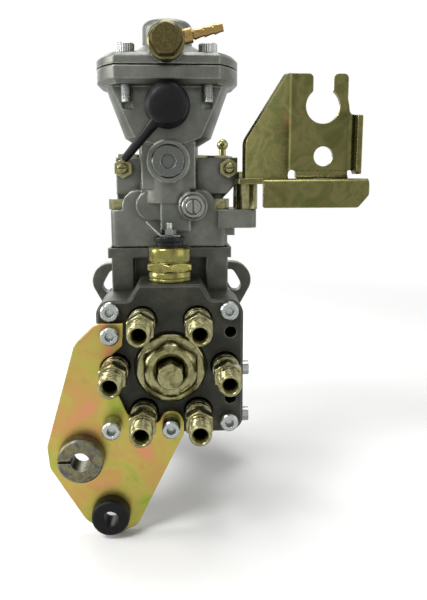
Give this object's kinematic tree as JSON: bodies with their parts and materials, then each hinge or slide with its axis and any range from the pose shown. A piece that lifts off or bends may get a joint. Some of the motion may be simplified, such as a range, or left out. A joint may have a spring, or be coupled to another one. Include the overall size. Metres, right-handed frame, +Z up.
{
  "type": "diesel injection pump",
  "caption": "Distributor-type diesel injection pump with delivery outlets, shut-off solenoid, boost compensator, throttle lever, cable bracket and support plate",
  "frame": {"origin": "centre of the pilot spigot on the mounting flange face", "axes": "+Y along the drive shaft out of the flange, outlets towards -Y, +Z up towards the boost compensator, +X to the right seen from the outlets"},
  "size_m": [0.1794, 0.2317, 0.2837],
  "materials": {
    "adjusting_screws": "yellow chromated zinc plate",
    "banjo_bolt": "yellow chromated zinc plate",
    "banjo_fitting": "turned brass",
    "bleed_bolt": "yellow chromated zinc plate",
    "boost_cover": "bead-blasted light casting",
    "boost_cover_screws": "bright zinc plate",
    "boost_lever": "ground and hardened steel",
    "bracket_spacers": "yellow chromated zinc plate",
    "cable_bracket": "yellow chromated zinc plate",
    "cam_plate": "ground and hardened steel",
    "center_plug": "yellow chromated zinc plate",
    "control_collar": "ground and hardened steel",
    "cover_gasket": "black moulded rubber",
    "cover_screws": "yellow chromated zinc plate",
    "cross_disc": "ground and hardened steel",
    "delivery_valve_holders": "yellow chromated zinc plate",
    "delivery_valves": "ground and hardened steel",
    "diaphragm": "black moulded rubber",
    "diaphragm_pin": "ground and hardened steel",
    "distributor_head": "dark phosphated casting",
    "drive_gear": "ground and hardened steel",
    "drive_shaft": "ground and hardened steel",
    "eccentric_ring": "ground and hardened steel",
    "flyweight_1": "ground and hardened steel",
    "flyweight_2": "ground and hardened steel",
    "flyweight_3": "ground and hardened steel",
    "flyweight_4": "ground and hardened steel",
    "governor_cage": "sintered steel",
    "governor_cover": "bead-blasted light casting",
    "governor_lever": "ground and hardened steel",
    "governor_shaft": "ground and hardened steel",
    "governor_sleeve": "ground and hardened steel",
    "housing_screws": "bright zinc plate",
    "lock_nuts": "yellow chromated zinc plate",
    "pivot_plug": "ground and hardened steel",
    "pump_housing": "matt grey pressure die casting",
    "pump_plunger": "ground and hardened steel",
    "return_springs": "ground and hardened steel",
    "roller_ring": "ground and hardened steel",
    "rollers": "ground and hardened steel",
    "rubber_bush": "black moulded rubber",
    "sensing_pin": "ground and hardened steel",
    "shaft_key": "ground and hardened steel",
    "shaft_seal": "black moulded rubber",
    "solenoid_body": "iridescent yellow zinc plate",
    "solenoid_insulator": "black phenolic",
    "solenoid_plunger": "ground and hardened steel",
    "solenoid_terminal": "bright zinc plate",
    "split_bush": "yellow chromated zinc plate",
    "spring_yoke": "ground and hardened steel",
    "support_bracket": "yellow chromated zinc plate",
    "support_bracket_screws": "bright zinc plate",
    "throttle_lever": "yellow chromated zinc plate",
    "throttle_shaft": "ground and hardened steel",
    "throttle_spring": "ground and hardened steel",
    "timing_covers": "matt grey pressure die casting",
    "timing_piston": "ground and hardened steel",
    "vane_rotor": "ground and hardened steel",
    "vanes": "ground and hardened steel",
    "vent_boot": "black moulded rubber"
  },
  "bodies": {
    "housing": {"adjusting_screws": "adjusting_screws", "banjo_bolt": "banjo_bolt", "banjo_fitting": "banjo_fitting", "bleed_bolt": "bleed_bolt", "boost_cover": "boost_cover", "boost_cover_screws": "boost_cover_screws", "bracket_spacers": "bracket_spacers", "cable_bracket": "cable_bracket", "center_plug": "center_plug", "cover_gasket": "cover_gasket", "cover_screws": "cover_screws", "delivery_valve_holders": "delivery_valve_holders", "diaphragm": "diaphragm", "distributor_head": "distributor_head", "eccentric_ring": "eccentric_ring", "governor_cover": "governor_cover", "governor_shaft": "governor_shaft", "housing_screws": "housing_screws", "lock_nuts": "lock_nuts", "pivot_plug": "pivot_plug", "pump_housing": "pump_housing", "return_springs": "return_springs", "rubber_bush": "rubber_bush", "shaft_seal": "shaft_seal", "solenoid_body": "solenoid_body", "solenoid_insulator": "solenoid_insulator", "solenoid_terminal": "solenoid_terminal", "split_bush": "split_bush", "spring_yoke": "spring_yoke", "support_bracket": "support_bracket", "support_bracket_screws": "support_bracket_screws", "throttle_spring": "throttle_spring", "timing_covers": "timing_covers", "vent_boot": "vent_boot"},
    "drive": {"drive_shaft": "drive_shaft", "shaft_key": "shaft_key", "drive_gear": "drive_gear", "vane_rotor": "vane_rotor", "vanes": "vanes", "cross_disc": "cross_disc", "cam_plate": "cam_plate", "pump_plunger": "pump_plunger"},
    "governor": {"governor_cage": "governor_cage"},
    "weight_1": {"flyweight_1": "flyweight_1"},
    "weight_2": {"flyweight_2": "flyweight_2"},
    "weight_3": {"flyweight_3": "flyweight_3"},
    "weight_4": {"flyweight_4": "flyweight_4"},
    "sleeve": {"governor_sleeve": "governor_sleeve"},
    "lever": {"governor_lever": "governor_lever"},
    "collar": {"control_collar": "control_collar"},
    "timing": {"timing_piston": "timing_piston"},
    "ring": {"roller_ring": "roller_ring", "rollers": "rollers"},
    "throttle": {"throttle_shaft": "throttle_shaft", "throttle_lever": "throttle_lever"},
    "boost_pin": {"diaphragm_pin": "diaphragm_pin"},
    "sensing": {"sensing_pin": "sensing_pin"},
    "boost_arm": {"boost_lever": "boost_lever"},
    "armature": {"solenoid_plunger": "solenoid_plunger"},
    "valves": {"delivery_valves": "delivery_valves"}
  },
  "joints": [
    {"name": "drive_spin", "type": "hinge", "parent": "housing", "child": "drive", "pos_m": [0, 0, 0], "axis": [0, 1, 0], "continuous": true},
    {"name": "governor_spin", "type": "hinge", "parent": "housing", "child": "governor", "pos_m": [0, -0.05, 0.051], "axis": [0, 1, 0], "continuous": true},
    {"name": "flyweight_1_swing", "type": "hinge", "parent": "governor", "child": "weight_1", "pos_m": [0.0125, -0.046, 0.051], "axis": [0, 0, 1], "range_deg": [0, 15]},
    {"name": "flyweight_2_swing", "type": "hinge", "parent": "governor", "child": "weight_2", "pos_m": [0, -0.046, 0.0385], "axis": [1, 0, 0], "range_deg": [0, 15]},
    {"name": "flyweight_3_swing", "type": "hinge", "parent": "governor", "child": "weight_3", "pos_m": [-0.0125, -0.046, 0.051], "axis": [0, 0, -1], "range_deg": [0, 15]},
    {"name": "flyweight_4_swing", "type": "hinge", "parent": "governor", "child": "weight_4", "pos_m": [0, -0.046, 0.0635], "axis": [-1, 0, 0], "range_deg": [0, 15]},
    {"name": "sleeve_slide", "type": "slide", "parent": "governor", "child": "sleeve", "axis": [0, -1, 0], "range_m": [0, 0.00157]},
    {"name": "governor_lever_tilt", "type": "hinge", "parent": "housing", "child": "lever", "pos_m": [0, -0.09, 0.031], "axis": [1, 0, 0], "range_deg": [0, 4.6], "deforming": ["return_springs"]},
    {"name": "collar_slide", "type": "slide", "parent": "housing", "child": "collar", "axis": [0, 1, 0], "range_m": [0, 0.0017]},
    {"name": "timing_slide", "type": "slide", "parent": "housing", "child": "timing", "axis": [1, 0, 0], "range_m": [0, 0.008], "stiffness_N_per_m": 800, "deforming": ["return_springs"]},
    {"name": "roller_ring_turn", "type": "hinge", "parent": "housing", "child": "ring", "pos_m": [0, -0.056, 0], "axis": [0, -1, 0], "range_deg": [0, 10]},
    {"name": "throttle_turn", "type": "hinge", "parent": "housing", "child": "throttle", "pos_m": [0, -0.058, 0.11], "axis": [0, 0, -1], "range_deg": [0, 40], "stiffness_Nm_per_rad": 0.4, "deforming": ["throttle_spring"]},
    {"name": "boost_pin_slide", "type": "slide", "parent": "housing", "child": "boost_pin", "axis": [0, 0, -1], "range_m": [0, 0.008], "stiffness_N_per_m": 600, "deforming": ["return_springs", "diaphragm"]},
    {"name": "sensing_pin_slide", "type": "slide", "parent": "housing", "child": "sensing", "axis": [0, -1, 0], "range_m": [0, 0.00097]},
    {"name": "boost_lever_tilt", "type": "hinge", "parent": "housing", "child": "boost_arm", "pos_m": [0, -0.0867, 0.099], "axis": [1, 0, 0], "range_deg": [0, 4.7]},
    {"name": "solenoid_plunger_lift", "type": "slide", "parent": "housing", "child": "armature", "axis": [0, 0, 1], "range_m": [0, 0.002], "stiffness_N_per_m": 600},
    {"name": "delivery_valve_lift", "type": "slide", "parent": "housing", "child": "valves", "axis": [0, -1, 0], "range_m": [0, 0.0025], "stiffness_N_per_m": 600, "deforming": ["return_springs"]}
  ],
  "couplings": [
    {"joint": "governor_spin", "follows": "drive_spin", "ratio": -1.6154},
    {"joint": "flyweight_1_swing", "follows": "sleeve_slide", "rad_per_m": 166.67},
    {"joint": "flyweight_2_swing", "follows": "sleeve_slide", "rad_per_m": 166.67},
    {"joint": "flyweight_3_swing", "follows": "sleeve_slide", "rad_per_m": 166.67},
    {"joint": "flyweight_4_swing", "follows": "sleeve_slide", "rad_per_m": 166.67},
    {"joint": "governor_lever_tilt", "follows": "sleeve_slide", "rad_per_m": 50},
    {"joint": "collar_slide", "follows": "sleeve_slide", "ratio": 1.03},
    {"joint": "roller_ring_turn", "follows": "timing_slide", "rad_per_m": 21.739},
    {"joint": "sensing_pin_slide", "follows": "boost_pin_slide", "ratio": 0.12},
    {"joint": "boost_lever_tilt", "follows": "boost_pin_slide", "rad_per_m": 10}
  ]
}
